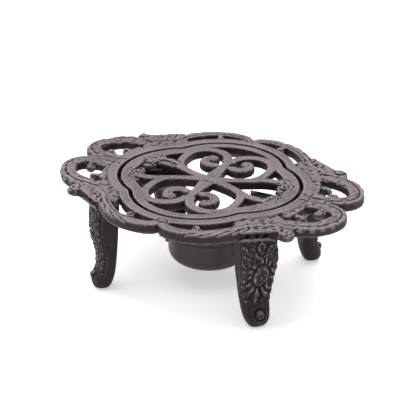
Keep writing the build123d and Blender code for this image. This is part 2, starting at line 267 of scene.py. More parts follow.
def gathered(shapes):
    """Many closed shapes as one set of points and faces."""
    faces, count = [], 0
    for points, own in shapes:
        faces += [[i + count for i in face] for face in own]
        count += len(points)
    return np.vstack([points for points, _ in shapes]), faces


# ---- The opening's outline ---------------------------------------------------------

def lobe_radius():
    """Radius of the opening's lobes, from the grate's width and the gap."""
    s = bpy.context.scene.castings
    return GRATE_HIGH[1] + s.gap - s.lobe_offset


def cusp_middle():
    """Middle of the first quarter's cusp circle, which touches two lobe circles."""
    s = bpy.context.scene.castings
    reach = lobe_radius() + s.cusp_radius
    distance = (sqrt(2) * s.lobe_offset + sqrt(4 * reach**2 - 2 * s.lobe_offset**2)) / 2
    return np.array([distance, distance]) / sqrt(2)


def outline(grow, samples=480):
    """The opening's outline moved outwards: four lobe arcs joined by four hollow cusp
    arcs, at equal steps along its length."""
    s = bpy.context.scene.castings
    cusp = cusp_middle()
    lean = degrees(atan2(cusp[1], cusp[0] - s.lobe_offset))
    lobe = arc((s.lobe_offset, 0), lobe_radius() + grow, -lean, lean, 160)
    hollow = arc(cusp, s.cusp_radius - grow, 180 + lean, 270 - lean, 60)
    quarter = np.vstack([lobe[:-1], hollow[:-1]])
    quarter = np.hstack([quarter, np.zeros((len(quarter), 1))])
    loop = np.vstack([turned(quarter, turn)[:, :2] for turn in (0, 90, 180, 270)])
    loop = np.vstack([loop, loop[:1]])
    run = np.concatenate([[0], np.cumsum(np.linalg.norm(np.diff(loop, axis=0), axis=1))])
    at = np.linspace(0, run[-1], samples, endpoint=False)
    return np.stack([np.interp(at, run, loop[:, 0]), np.interp(at, run, loop[:, 1])], axis=1)


def outside(xy):
    """Distance outside the opening's outline, less than 0 inside it."""
    s = bpy.context.scene.castings
    p = np.abs(xy)
    cusp = cusp_middle()
    to_cusp = cusp - p
    lobe_x = np.hypot(p[:, 0] - s.lobe_offset, p[:, 1]) - lobe_radius()
    lobe_y = np.hypot(p[:, 0], p[:, 1] - s.lobe_offset) - lobe_radius()
    direction = np.arctan2(to_cusp[:, 1], to_cusp[:, 0])
    lean = atan2(cusp[1], cusp[0] - s.lobe_offset)
    in_cusp = (direction > pi / 2 - lean) & (direction < lean)
    in_cusp &= np.hypot(*to_cusp.T) < s.cusp_radius * 2
    return np.where(in_cusp, s.cusp_radius - np.hypot(*to_cusp.T), np.minimum(lobe_x, lobe_y))


def band(inner, outer, bottom, top, square):
    """Closed band that follows the opening's outline from inner to outer."""
    xy = outline((inner + outer) / 2)
    rest = np.full((len(xy), 1), 1.0)
    return bar(np.hstack([xy, rest * (outer - inner) / 2, rest * (TOP - top)]), bottom, square, loop=True)


# ---- Meshes -----------------------------------------------------------------------

def mesh_piece(name, shapes):
    """New object from closed shapes in millimetres."""
    points, faces = gathered(shapes)
    mesh = bpy.data.meshes.new(name)
    mesh.from_pydata((points * MM).tolist(), [], faces)
    piece = bpy.data.objects.new(name, mesh)
    bpy.context.scene.collection.objects.link(piece)
    return piece


def fuse(piece, voxel, smoothing):
    """Melt overlapping closed shapes into one skin and soften its inside corners."""
    melt = piece.modifiers.new("melt", "REMESH")
    melt.mode, melt.voxel_size = "VOXEL", voxel * MM
    soften = piece.modifiers.new("soften", "SMOOTH")
    soften.factor, soften.iterations = 0.5, smoothing
    seen = piece.evaluated_get(bpy.context.evaluated_depsgraph_get())
    melted = bpy.data.meshes.new_from_object(seen)
    piece.modifiers.clear()
    raw, piece.data = piece.data, melted
    bpy.data.meshes.remove(raw)
    melted.name = piece.name


def read_skin(mesh):
    """Vertex positions in millimetres and unit normals."""
    points, normals = np.empty(len(mesh.vertices) * 3), np.empty(len(mesh.vertices) * 3)
    mesh.vertices.foreach_get("co", points)
    mesh.vertices.foreach_get("normal", normals)
    return points.reshape(-1, 3) / MM, normals.reshape(-1, 3)


def write_skin(mesh, points):
    """Puts positions in millimetres back into a mesh."""
    mesh.vertices.foreach_set("co", (points * MM).ravel())
    mesh.update()


def value_noise(points, cell, seed):
    """Smooth noise from 0 to 1: random values on a lattice, blended between the
    corners of each cell with the weight 3u^2 - 2u^3."""
    count = 32
    table = np.random.default_rng(seed).random((count, count, count))
    low = np.floor(points / cell).astype(int)
    u = points / cell - low
    u = u * u * (3 - 2 * u)
    total = np.zeros(len(points))
    for corner in np.ndindex(2, 2, 2):
        i = (low + corner) % count
        total += np.prod(np.where(np.array(corner) == 1, u, 1 - u), axis=1) * table[tuple(i.T)]
    return total


def nearest(xy, path):
    """Distance in plan to a path, distance along it, and 1 or -1 for the left or
    right side of it, from the nearest of its straight spans."""
    path = np.asarray(path, float)[:, :2]
    best = np.full(len(xy), np.inf)
    along, side = np.zeros(len(xy)), np.ones(len(xy))
    run = 0.0
    for start, end in zip(path[:-1], path[1:]):
        span = end - start
        length = np.linalg.norm(span)
        share = np.clip(((xy - start) @ span) / length**2, 0, 1)
        off = xy - start - share[:, None] * span
        far = np.linalg.norm(off, axis=1)
        closer = far < best
        best = np.where(closer, far, best)
        along = np.where(closer, run + share * length, along)
        side = np.where(closer, np.sign(span[0] * off[:, 1] - span[1] * off[:, 0]), side)
        run += length
    return best, along, side


def neighbours_mean(pairs, values):
    """Mean of the values at each vertex's neighbours along its edges."""
    a, b = pairs
    count = np.bincount(a, minlength=len(values)) + np.bincount(b, minlength=len(values))
    total = [
        np.bincount(a, column[b], len(values)) + np.bincount(b, column[a], len(values))
        for column in values.reshape(len(values), -1).T
    ]
    return (np.stack(total, axis=1) / np.maximum(count, 1)[:, None]).reshape(values.shape)


def store_relief(mesh, spread, rounds):
    """Attribute "relief": over 0.5 on outside edges and under 0.5 in hollows. It is the step along the normal
    from the neighbours' mean to the vertex, evened out; the shader paints shade in the hollows and highlights
    on the edges from it. Attribute "upper" is 1 on faces that look up, where the shader paints light."""
    points, normals = read_skin(mesh)
    pairs = np.empty(len(mesh.edges) * 2, dtype=np.int32)
    mesh.edges.foreach_get("vertices", pairs)
    pairs = pairs.reshape(-1, 2).T
    bend = np.einsum("ij,ij->i", points - neighbours_mean(pairs, points), normals)
    for _ in range(rounds):
        bend = 0.5 * bend + 0.5 * neighbours_mean(pairs, bend)
    shares = {"relief": np.clip(0.5 + bend / spread, 0, 1), "upper": ramp(normals[:, 2], 0.4, 0.92)}
    for name, share in shares.items():
        mesh.attributes.new(name, "FLOAT", "POINT").data.foreach_set("value", share.astype(np.float32))


def sand_cast(mesh, depth, seed):
    """Cast skin: it moves along its normals by noise of four sizes."""
    points, normals = read_skin(mesh)
    rough = (
        0.8 * value_noise(points, 1.3, seed)
        + 0.7 * value_noise(points, 2.9, seed + 1)
        + 0.9 * value_noise(points, 7.0, seed + 2)
        + 1.2 * value_noise(points, 19.0, seed + 3)
        - 1.8
    )
    write_skin(mesh, points + normals * (depth * rough)[:, None])


def finish_piece(piece, body, nodes, material):
    """Shading, material and place of a new piece in the frame."""
    mesh = piece.data
    mesh.materials.clear()
    mesh.materials.append(material)
    mesh.polygons.foreach_set("use_smooth", np.ones(len(mesh.polygons), dtype=bool))
    mesh.update()
    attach(piece, body)
    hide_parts(*nodes)


# ---- Materials ----------------------------------------------------------------------

class Signal:
    """A shader socket that can be reckoned with."""

    def __init__(self, tree, socket):
        self.tree, self.socket = tree, socket

    def reckon(self, operation, *others):
        """Math node of this signal and the others."""
        return node(self.tree, "ShaderNodeMath", {"operation": operation}, (self, *others))

    def __add__(self, other):
        return self.reckon("ADD", other)

    def __sub__(self, other):
        return self.reckon("SUBTRACT", other)

    def __mul__(self, other):
        return self.reckon("MULTIPLY", other)

    def __rsub__(self, other):
        return node(self.tree, "ShaderNodeMath", {"operation": "SUBTRACT"}, (other, self))

    __radd__, __rmul__ = __add__, __mul__

    def between(self, low, high):
        """0 below low, 1 above high and smooth between them."""
        sockets = {"Value": self, "From Min": low, "From Max": high}
        return node(self.tree, "ShaderNodeMapRange", {"interpolation_type": "SMOOTHSTEP"}, sockets, "Result")


def node(tree, kind, settings=None, sockets=None, output=0):
    """Any node: its settings, then the values or links of its sockets, by name or in
    order. Gives the wanted output."""
    made = tree.nodes.new(kind)
    for name, value in (settings or {}).items():
        setattr(made, name, value)
    named = sockets.items() if isinstance(sockets, dict) else enumerate(sockets or ())
    for name, value in named:
        if isinstance(value, Signal):
            tree.links.new(value.socket, made.inputs[name])
        else:
            made.inputs[name].default_value = value
    return Signal(tree, made.outputs[output]) if made.outputs else None


def mixed(tree, share, a, b):
    """Colour a where share is 0 and b where it is 1."""
    sockets = {0: share, 6: a, 7: b}
    return node(tree, "ShaderNodeMix", {"data_type": "RGBA"}, sockets, 2)


def rgba(value):
    """A colour setting as four numbers."""
    return (*value, 1.0)


def noise(tree, place, scale, detail=3.0, rough=0.55):
    """Noise from 0 to 1 whose features are about 1 / scale metres."""
    sockets = {"Vector": place, "Scale": scale, "Detail": detail, "Roughness": rough}
    return node(tree, "ShaderNodeTexNoise", {}, sockets, 0)


def new_material(name, build):
    """Material whose shader's sockets are what build gives."""
    material = bpy.data.materials.new(name)
    material.use_nodes = True
    tree = material.node_tree
    tree.nodes.clear()
    place = node(tree, "ShaderNodeTexCoord", {}, {}, "Object")
    shader = node(tree, "ShaderNodeBsdfPrincipled", {}, build(tree, place), 0)
    node(tree, "ShaderNodeOutputMaterial", {}, {"Surface": shader})
    return material


def cast_iron(tree, place):
    """Sand-cast iron under a thin brown-black coating, with painted light on the faces that look up, painted
    shade on the sides and in the hollows, and worn edges with a painted highlight.
    """
    c = bpy.context.scene.finishes
    relief = node(tree, "ShaderNodeAttribute", {"attribute_name": "relief"}, {}, "Fac")
    # upper carries the painted light on faces that look up.
    upper = node(tree, "ShaderNodeAttribute", {"attribute_name": "upper"}, {}, "Fac")
    cloud, fine = noise(tree, place, 45), noise(tree, place, 1500, 2)
    grain = noise(tree, place, 800, 4, 0.62)
    cells = {"Vector": place, "Scale": 520.0}
    pits = 1.0 - node(tree, "ShaderNodeTexVoronoi", {}, cells, "Distance").between(0.05, 0.33)
    pits = pits * cloud.between(0.42, 0.6)
    # Painted light: faces that look up take the light Face colour and the rest the dark Side colour, broken
    # up by grain and relief.
    painted_top_light = (upper * 0.85 + (grain - 0.5) * 1.5 + (relief - 0.5) * 1.3).between(0.2, 0.85)
    # Painted shade: mask of the hollows, from the relief attribute.
    hollow = 1.0 - (relief + (grain - 0.5) * 0.3).between(0.2, 0.5)
    # Mask of the convex edges: edge wear and a painted highlight.
    worn_and_highlit_edges = (relief + (grain - 0.5) * 0.4).between(0.56, 0.86)
    base = mixed(tree, painted_top_light, rgba(c.side), rgba(c.face))
    base = mixed(tree, cloud.between(0.35, 0.7) * 0.3, base, rgba(c.side))
    base = mixed(tree, fine.between(0.5, 0.64) * 0.6, base, rgba(c.pits_and_hollow_shade))
    # Painted shade darkens the hollows nearly to black.
    base = mixed(tree, hollow * 0.92, base, rgba(c.pits_and_hollow_shade))
    # Edge wear with a painted highlight on the convex edges, brighter where they face up.
    base = mixed(tree, worn_and_highlit_edges * (upper * 0.6 + 0.25), base, rgba(c.edge_wear_and_highlight))
    base = mixed(tree, pits * 0.8, base, rgba(c.pits_and_hollow_shade))
    bump = {"Strength": 0.85, "Distance": 0.0003, "Height": grain * 0.9 + fine * 0.5 - pits * 1.1}
    return {
        "Base Color": base,
        "Roughness": 0.6 - worn_and_highlit_edges * 0.14 + (grain - 0.5) * 0.22,
        "Specular IOR Level": 0.22,
        "Normal": node(tree, "ShaderNodeBump", {}, bump),
    }


def smooth_iron(tree, place):
    """Thin dark coating on turned or pressed parts."""
    c = bpy.context.scene.finishes
    cloud, grain, fine = noise(tree, place, 60), noise(tree, place, 420, 4), noise(tree, place, 2200, 2)
    base = mixed(tree, cloud.between(0.35, 0.7) * 0.6, rgba(c.smooth), rgba([v * 0.62 for v in c.smooth]))
    base = mixed(tree, fine.between(0.55, 0.75) * 0.25, base, rgba([v * 1.9 for v in c.smooth]))
    bump = {"Strength": 0.35, "Distance": 0.00012, "Height": grain * 0.7 + fine * 0.4}
    return {
        "Base Color": base,
        "Roughness": 0.44 + (grain - 0.5) * 0.25 + cloud * 0.1,
        "Specular IOR Level": 0.45,
        "Normal": node(tree, "ShaderNodeBump", {}, bump),
    }


def screw_steel(tree, place):
    """Blackened steel, worn a little."""
    c = bpy.context.scene.finishes
    cloud, fine = noise(tree, place, 500), noise(tree, place, 2600, 2)
    base = mixed(tree, cloud.between(0.4, 0.7), rgba(c.screw), rgba([v * 2.4 for v in c.screw]))
    bump = {"Strength": 0.3, "Distance": 0.00006, "Height": fine}
    return {
        "Base Color": base,
        "Roughness": 0.34 + cloud * 0.22,
        "Metallic": cloud.between(0.3, 0.7) * 0.5 + 0.3,
        "Normal": node(tree, "ShaderNodeBump", {}, bump),
    }


def floor_card(tree, place):
    """Matt pale floor of a light table, lit a little from below."""
    c = bpy.context.scene.finishes
    card = mixed(tree, noise(tree, place, 9), rgba(c.floor), rgba([v * 0.985 for v in c.floor]))
    return {"Base Color": card, "Roughness": 0.9, "Emission Color": card, "Emission Strength": 0.5}


def shared_material(name, build):
    """The material of that name, made when it is first wanted."""
    return bpy.data.materials.get(name) or new_material(name, build)


# ---- Frame ---------------------------------------------------------------------------

# Paths of the first quarter: (x, y, half width, drop under the top) in millimetres
END_LOOP = [
    (60, 4.6, 4.8, 0.4), (69, 4.4, 4.7, 0.1), (78.0, 5.2, 4.7, 0), (84.0, 9.4, 4.7, 0),
    (85.8, 16, 4.7, 0), (83.2, 23.0, 4.7, 0), (78.6, 28.8, 4.9, 0), (72.4, 32.6, 5.2, 0),
    (65.5, 34.2, 5.4, 0.2), (58, 34.4, 5.2, 0.4),
]
SIDE_LOOP = [
    (1.2, 62.0, 2.9, 0.3), (4.0, 66.6, 3.0, 0), (11, 68.4, 3.1, 0), (20.5, 67.6, 3.2, 0),
    (30, 63.6, 3.4, 0), (37.5, 57.2, 3.6, 0), (43, 50.8, 3.6, 0.1),
]
# Flat webs between the ring and the loops
WEBS = (
    [(56, 0, 4, 1), (66, 0, 3.4, 1.4), (78, 0, 2.2, 2)],
    [(61, 2, 3, 0.4), (61.6, 10, 3, 0.6), (60, 18, 3.2, 0.6), (56.5, 26, 4, 0.6)],
    [(58, 26, 4.5, 0.8), (52, 35, 6, 0.8), (45, 42, 6, 0.8), (37, 49, 4.2, 0.8)],
    [(64, 34, 3, 1), (56, 38, 6, 1), (48, 44, 6, 1.5), (41, 51, 4, 1.5)],
)
SIDE_BRIDGE = [(0, 60, 3.2, 0.8), (5, 61, 2, 1)]
# The shell over a leg: its row of ribs stands between a crest and a lip
SHELL_MIDDLE = (51.1, 45.2)
SHELL_ANGLE = 58.0
RIBS = (5.6, 0.5, -4.6, -9.6)
CREST_THICKNESS = 1.7
LIP_HEIGHT = 1.7
CURL_EYE = (66.0, 43.4)
CURL = [(54, 38, 4.6, 0.2), (60, 40.6, 5.2, 0), (66.4, 43.4, 4.6, 0.2)]
# Small ornaments inside the loops
KNOB = (20.4, 60.4)
STRUT = [(18.8, 57.5, 2.2, 0.6), (20.4, 61, 1.8, 0.4), (23.4, 66.5, 1.5, 0.4)]
HOLE_CURL = (73.6, 12.6)
HOLE_LEAF = [(72, 6, 2.4, 1), (75.4, 9.6, 2.3, 1), (*HOLE_CURL, 2.1, 1.2)]
HOLE_SPUR = [(62, 20, 2.4, 1.4), (66.4, 21.2, 1.9, 1.6), (69.4, 19.4, 1.4, 2)]
# Pads under the seat for the hanger straps
STRAP_PAD = 59.6
STRAP_PAD_SIZE = (4.0, 12.0, 1.1)
# Leaf tips over the end loop's outer edge: (x, y, turn in degrees)
LEAF_TIPS = ((86.2, 25.4, 105), (82.6, 30.4, 120), (78.0, 34.6, 135), (72.4, 37.2, 155))


def shell_point(along, out):
    """Point of the shell: along its row of ribs towards the end loop, and outwards."""
    a = radians(SHELL_ANGLE)
    x = SHELL_MIDDLE[0] + along * sin(a) + out * cos(a)
    return x, SHELL_MIDDLE[1] - along * cos(a) + out * sin(a)


def crest_path():
    """Smooth crest over the ribs, from the shell's curl into the side loop."""
    return [
        (*shell_point(13, 0.5), 2.6, 0), (*shell_point(4, -1.6), 2.7, 0),
        (*shell_point(-4, -1.6), 2.8, 0), (*shell_point(-11, 1.2), 3.0, 0), (37.5, 57.2, 3.2, 0),
    ]


def shell_row(start, stop, out, half, drop):
    """Straight path along a shell's row of ribs."""
    return [(*shell_point(along, out), half, drop) for along in (start, stop)]


def frame_quarter():
    """Loops, webs, shell and curls of the first quarter."""
    low = PLATE_BOTTOM
    crest_bottom = TOP - 0.1 - CREST_THICKNESS
    shapes = [
        smooth_bar(END_LOOP, low, (0.46, 0.4), 110),
        smooth_bar(SIDE_LOOP, low, (0.42, 0.36), 90),
        smooth_bar(crest_path(), low + 1, (0.8, 0.7), 70),
        *(smooth_bar(web, low, (0.5, 0.4)) for web in WEBS),
        smooth_bar(SIDE_BRIDGE, low, (0.6, 0.5)),
        # Apron under the ribs, crest above the row of windows and lip below it
        smooth_bar(shell_row(11, -11, -1.4, 4.2, 2.4), low, (0.4, 0.4)),
        smooth_bar(shell_row(11, -12, 4.2, 1.9, 0.1), crest_bottom, (0.7, 0.6)),
        smooth_bar(shell_row(11, -12, 4.6, 1.7, TOP - low - LIP_HEIGHT), low, (0.7, 0.6)),
        smooth_bar(STRUT, low, (0.8, 0.7)),
        lump((*KNOB, TOP - 2.8), (2.9, 2.6, 2.7)),
        smooth_bar(HOLE_LEAF, low, (0.9, 0.8)),
        lump((*HOLE_CURL, TOP - 3.2), (3.0, 3.0, 2.6)),
        smooth_bar(HOLE_SPUR, low, (0.9, 0.8)),
        smooth_bar(CURL, low, (0.6, 0.5)),
        lump((*CURL_EYE, TOP - 3.3), (4.9, 4.5, 3.2), square=(0.8, 0.8)),
    ]
    for along in RIBS:
        root, tip = shell_point(along * 0.86, -1.5), shell_point(along * 1.04, 5.2)
        middle = shell_point(along * 0.95, 2)
        rows = [(*root, 1.5, 0.2), (*middle, 1.7, 0.4), (*tip, 1.8, 1.3)]
        shapes.append(smooth_bar(rows, low + 0.5, (0.55, 0.5), 40))
    shapes += [lump((x, y, TOP - 2), (2.7, 1.5, 1.7), turn) for x, y, turn in LEAF_TIPS]
    return shapes


def carve_frame(mesh):
    """Grooves, leaf edges, pits and curls cut into the frame's upper side: each lowers
    the skin along its normal, most by a depth times a bell of the distance from a line."""
    points, normals = read_skin(mesh)
    plan = np.abs(points[:, :2])
    up = ramp(normals[:, 2], 0.1, 0.6)
    cut = np.zeros(len(points))
    # Grooves round the ring
    ring = outside(plan)
    cut += 0.16 * dip(ring - 2.1, 0.5) + 0.14 * dip(ring - 4.1, 0.5)
    # Carved line along an end loop
    away, along, side = nearest(plan, smooth_path(END_LOOP, 60))
    cut += 0.8 * dip(away * side + 1.6, 0.65) * (away < 5)
    # Pointed leaf edge along a side loop
    away, along, side = nearest(plan, smooth_path(SIDE_LOOP, 60))
    offset = away * side
    saw = ((along + 2.6 * offset) / 8.6) % 1
    edge = ramp(offset, 0.2, 1.6)
    leaves = ramp(along, 17, 21) * (away < 5)
    cut += 1.3 * leaves * edge * (1 - saw) ** 3 * ramp(saw, 0, 0.08)
    cut += 0.7 * dip(offset + 1.7, 0.5) * (away < 4)
    # Wide pits in the flesh between the ring and the end loops
    flesh = ramp(ring, 5.5, 8) * (away > 4)
    cut += 0.5 * flesh * ramp(value_noise(points, 2.6, 5), 0.5, 0.75)
    # Crest line and curls
    away, along, side = nearest(plan, smooth_path(crest_path(), 50))
    cut += 0.4 * dip(away * side + 1.3, 0.5) * (away < 3)
    cut += spiral(plan, CURL_EYE, 4.6, 2.6, 0.6) + spiral(plan, KNOB, 3.2, 1.7, 0.7)
    cut += spiral(plan, HOLE_CURL, 3.4, 1.9, 0.6)
    write_skin(mesh, points - normals * (cut * up)[:, None])


def spiral(plan, middle, radius, pitch, depth):
    """Depth of a groove wound round middle: it is deepest where the distance from
    middle is pitch times the turns made, plus a whole number of pitches."""
    off = plan - np.asarray(middle)
    away = np.hypot(*off.T)
    phase = (away / pitch - np.arctan2(off[:, 1], off[:, 0]) / (2 * pi)) % 1
    return depth * dip(phase - 0.5, 0.2) * ramp(radius - away, 0, 0.8) * ramp(away, 0.3, 0.9)


class WARMER_OT_frame(bpy.types.Operator):
    """Cast the openwork frame with its ring, seat, loops and shells"""

    bl_idname = "warmer.frame"
    bl_label = "Frame"

    def execute(self, context):
        s = context.scene.castings
        shapes = four_quarters(frame_quarter())
        shapes.append(band(0, s.ring_width, PLATE_BOTTOM, TOP, (0.28, 0.3)))
        shapes.append(band(-s.ledge, s.seat_rim, SEAT_BOTTOM, SEAT_BOTTOM + s.seat, (0.2, 0.2)))
        for end in (-1, 1):
            pad = (end * STRAP_PAD, 0, (SEAT_BOTTOM + PLATE_BOTTOM) / 2 + 0.1)
            shapes.append(lump(pad, STRAP_PAD_SIZE, square=(0.25, 0.25)))
        piece = mesh_piece("frame_casting", shapes)
        fuse(piece, s.frame_mesh, smoothing=2)
        carve_frame(piece.data)
        sand_cast(piece.data, s.grain, seed=11)
        store_relief(piece.data, spread=0.16, rounds=3)
        finish_piece(piece, "stand", ["frame"], shared_material("cast iron", cast_iron))
        return {"FINISHED"}


# ---- Grate -----------------------------------------------------------------------------

# Paths of the first quarter, as the frame's
HEART_LOBE = (14.7, 27.3)
HEART_RADIUS = 13.0
HEART_SIDE = [(19, 6.6), (24.0, 10.2), (26.9, 16.0), (27.7, 22.5), (27.7, 27.3)]
STEM = [(0, 2, 5.6, 0.1), (0, 7, 4.5, 0), (0, 14, 3.5, 0), (0, 23, 2.8, 0), (0, 33, 3.2, 0)]
LEAF_EYE = (8.4, 25.6)
LEAF_RADIUS = 6.1
LEAF_BALL = (11.6, 29.6)
BAR = [
    (-2, -0.6, 3.4, 0), (9, 2.6, 3.0, 0), (17, 5.7, 2.8, 0), (23.5, 9.0, 3.0, 0),
    (30, 12.2, 2.7, 0), (38, 13.5, 2.7, 0), (43, 12.2, 2.9, 0.1), (45.6, 9.6, 3.0, 0.2),
]
END_VOLUTE = (43.6, 8.2)
# Two small leaves beside a volute, on the border
BORDER_LEAVES = (
    [(45.5, 16.5, 2.2, 0.6), (41.4, 18.6, 2.2, 0.4), (37.4, 17.8, 1.3, 0.8)],
    [(46.5, 3.0, 2.0, 0.7), (43.4, 3.4, 1.8, 0.7), (40.6, 5.2, 1.1, 1)],
)
# The long leaf over one bar, at the left end alone
END_LEAF = [
    (-20, 7.4, 2.6, 0), (-27, 11.0, 3.9, 0), (-33.5, 12.9, 4.7, 0), (-39.5, 12.6, 3.6, 0.2),
    (-44, 9.4, 1.8, 0.6),
]
# Width of the grate's border at its two ends, and how much less it is at the sides
BORDER_WIDTH = 8.0
BORDER_TAPER = 3.0


def heart_path():
    """The heart's side from its bar, then round its lobe to the cleft."""
    xy = np.vstack([smooth_path(HEART_SIDE, 30)[:-1], arc(HEART_LOBE, HEART_RADIUS, 0, 188, 80)])
    half = np.interp(np.linspace(0, 1, len(xy)), [0, 0.3, 0.75, 1], [2.6, 2.8, 3.0, 2.7])
    return np.hstack([xy, half[:, None], np.zeros((len(xy), 1))])


def leaf_path():
    """Side leaf of the fleur, from the stem round its eye to its ball."""
    xy = arc(LEAF_EYE, LEAF_RADIUS, -150, 46, 50)
    half = np.interp(np.linspace(0, 1, len(xy)), [0, 0.4, 1], [2.8, 3.4, 3.0])
    return np.hstack([xy, half[:, None], np.full((len(xy), 1), 0.1)])


def grate_quarter():
    """Half a heart, with its stem and leaf, and an end bar, in the first quarter."""
    low = GRATE_BOTTOM
    return [
        bar(heart_path(), low, (0.5, 0.42)),
        bar(leaf_path(), low, (0.7, 0.62)),
        smooth_bar(STEM, low, (0.55, 0.45)),
        lump((*LEAF_BALL, TOP - 3.2), (4.5, 4.2, 3.4), square=(1, 0.9)),
        smooth_bar(BAR, low, (0.55, 0.42), 80),
        lump((*END_VOLUTE, TOP - 3), (4.2, 3.9, 2.9), square=(1, 0.85)),
        *(smooth_bar(leaf, low, (0.9, 0.8)) for leaf in BORDER_LEAVES),
    ]


def grate_border():
    """Border band, wider at the two ends than at the sides."""
    s = bpy.context.scene.castings
    outer = outline(-s.gap)
    direction = np.arctan2(np.abs(outer[:, 1]), np.abs(outer[:, 0]))
    width = BORDER_WIDTH - BORDER_TAPER * ramp(direction, radians(25), radians(62))
    step = np.roll(outer, -1, axis=0) - np.roll(outer, 1, axis=0)
    step /= np.linalg.norm(step, axis=1, keepdims=True)
    inwards = np.stack([-step[:, 1], step[:, 0]], axis=1)
    middle = outer + inwards * width[:, None] / 2
    path = np.hstack([middle, width[:, None] / 2, np.full((len(outer), 1), 0.15)])
    return bar(path, GRATE_BOTTOM, (0.28, 0.24), loop=True)


def carve_grate(mesh):
    """Volutes, leaf veins, rosettes and the border's fine line, cut as the frame's."""
    points, normals = read_skin(mesh)
    plan = np.abs(points[:, :2])
    up = ramp(normals[:, 2], 0.1, 0.6)
    inside = -outside(plan) - bpy.context.scene.castings.gap
    cut = 0.12 * dip(inside - 1.5, 0.45)
    cut += spiral(plan, END_VOLUTE, 4.4, 2.2, 0.75) + spiral(plan, LEAF_BALL, 3.0, 2.6, 0.3)
    # Long veined leaf over one bar, with an open fold beside its midrib
    away, along, side = nearest(points[:, :2], smooth_path(END_LEAF, 60))
    offset = away * side
    blade = ramp(along, 5, 9) * ramp(-along, -24, -19) * (away < 5)
    cut += blade * (2.4 * dip(offset - 0.9, 0.8) + 0.7 * dip(away - 3.2, 0.4))
    veins = 0.5 + 0.5 * np.cos(2 * pi * (along + 1.2 * away) / 3.4)
    cut += 0.25 * blade * veins**4 * ramp(away, 1.2, 2)
    # Rough rosettes on the border at the two ends
    rosette = ramp(7.5 - np.hypot(*(plan - END_VOLUTE).T), 0, 1.5)
    cut += 0.7 * rosette * ramp(value_noise(points, 1.7, 6), 0.45, 0.75)
    for leaf in BORDER_LEAVES:
        cut += 0.6 * dip(nearest(plan, smooth_path(leaf, 20))[0], 0.55)
    away, along, side = nearest(plan, leaf_path()[::3])
    cut += 0.35 * dip(away * side - 1.0, 0.5) * ramp(along, 3, 6)
    write_skin(mesh, points - normals * (cut * up)[:, None])


class WARMER_OT_grate(bpy.types.Operator):
    """Cast the lift-out grate with its hearts and border"""

    bl_idname = "warmer.grate"
    bl_label = "Grate"

    def execute(self, context):
        s = context.scene.castings
        shapes = four_quarters(grate_quarter())
        shapes += [smooth_bar(END_LEAF, GRATE_BOTTOM, (0.7, 0.5), 80), grate_border()]
        piece = mesh_piece("grate_casting", shapes)
        fuse(piece, s.grate_mesh, smoothing=2)
        carve_grate(piece.data)
        sand_cast(piece.data, s.grain, seed=23)
        store_relief(piece.data, spread=0.13, rounds=3)
        finish_piece(piece, "grate", ["grate"], shared_material("cast iron", cast_iron))
        return {"FINISHED"}


# ---- Legs --------------------------------------------------------------------------------

# Drawn at the origin with +X outwards: (height, front, back, half width)
LEG_SECTIONS = [
    (0, 3.2, -3.2, 3.8), (0.8, 4.8, -4.4, 5.0), (3.5, 6.2, -5.8, 6.7), (8, 5.2, -7.2, 7.9),
    (12.4, 3.4, -8.0, 8.5), (18, 2.4, -8.5, 9.2), (26, 2.8, -8.9, 10.1), (33, 4.4, -9.2, 10.9),
    (39.5, 5.4, -9.6, 11.4), (46, 5.2, -10.0, 11.5), (52, 4.2, -10.4, 11.5), (57.4, 3.2, -10.6, 11.5),
]
# Places outwards and up, then the medallion's height and its radii across and up
TOE_BALL = (4.9, 8.2)
TOE_SCROLL = (0.6, 5.9)
MEDALLION = 33.0
MEDALLION_SIZE = (5.0, 7.2)
FLUTES = 13
# Leaves over the medallion: (place across and up, lean in degrees)
CROWN = (((0, 46.5), 0), ((2.6, 46.0), 50), ((-2.6, 46.0), -50))


def leg_shapes():
    """A leg: rounded-square sections stacked up its curve, hollowed from behind, with
    the scroll and ball of its toe."""
    wall = bpy.context.scene.castings.wall
    rows = smooth_path(LEG_SECTIONS, 120)
    z, front, back, half = (column[:, None] for column in rows.T)
    angle = np.linspace(0, 2 * pi, 120, endpoint=False)[None, :]
    square = 0.72 - 0.26 * ramp(z, 8, 34)
    x = (front + back) / 2 + (front - back) / 2 * power(np.cos(angle), square)
    y = half * power(np.sin(angle), square)
    depth = ramp(half - wall - np.abs(y), 0, 1.2) * ramp(z, 15, 18) * ramp(-z, -52.5, -50.5)
    behind = x < (front + back) / 2
    x = np.where(behind, x + depth * (front - wall - x), x)
    points = np.stack([x, y, np.broadcast_to(z, x.shape)], axis=-1).reshape(-1, 3)
    return [
        (points, lattice(len(rows), angle.size)),
        lump((TOE_SCROLL[0], 0, TOE_SCROLL[1]), (5.4, 7.2, 5.8), square=(0.7, 0.9)),
        lump((TOE_BALL[0], 0, TOE_BALL[1]), (2.7, 2.5, 2.6)),
    ]


def leaf_rise(y, z, foot, lean, long, wide):
    """Height of a leaf lying on the leg: half an ellipse across an outline as wide as
    the sine of the way along it, with a groove round it."""
    c, s = cos(radians(lean)), sin(radians(lean))
    u = (y - foot[0]) * s + (z - foot[1]) * c
    v = (y - foot[0]) * c - (z - foot[1]) * s
    across = np.abs(v) / (wide * np.sin(pi * np.clip(u / long, 0, 1)) ** 0.7 + 1e-6)
    dome = np.sqrt(np.clip(1 - across**2, 0, 1)) - 0.6 * dip(across - 1.2, 0.2)
    return dome * (u > 0) * (u < long)


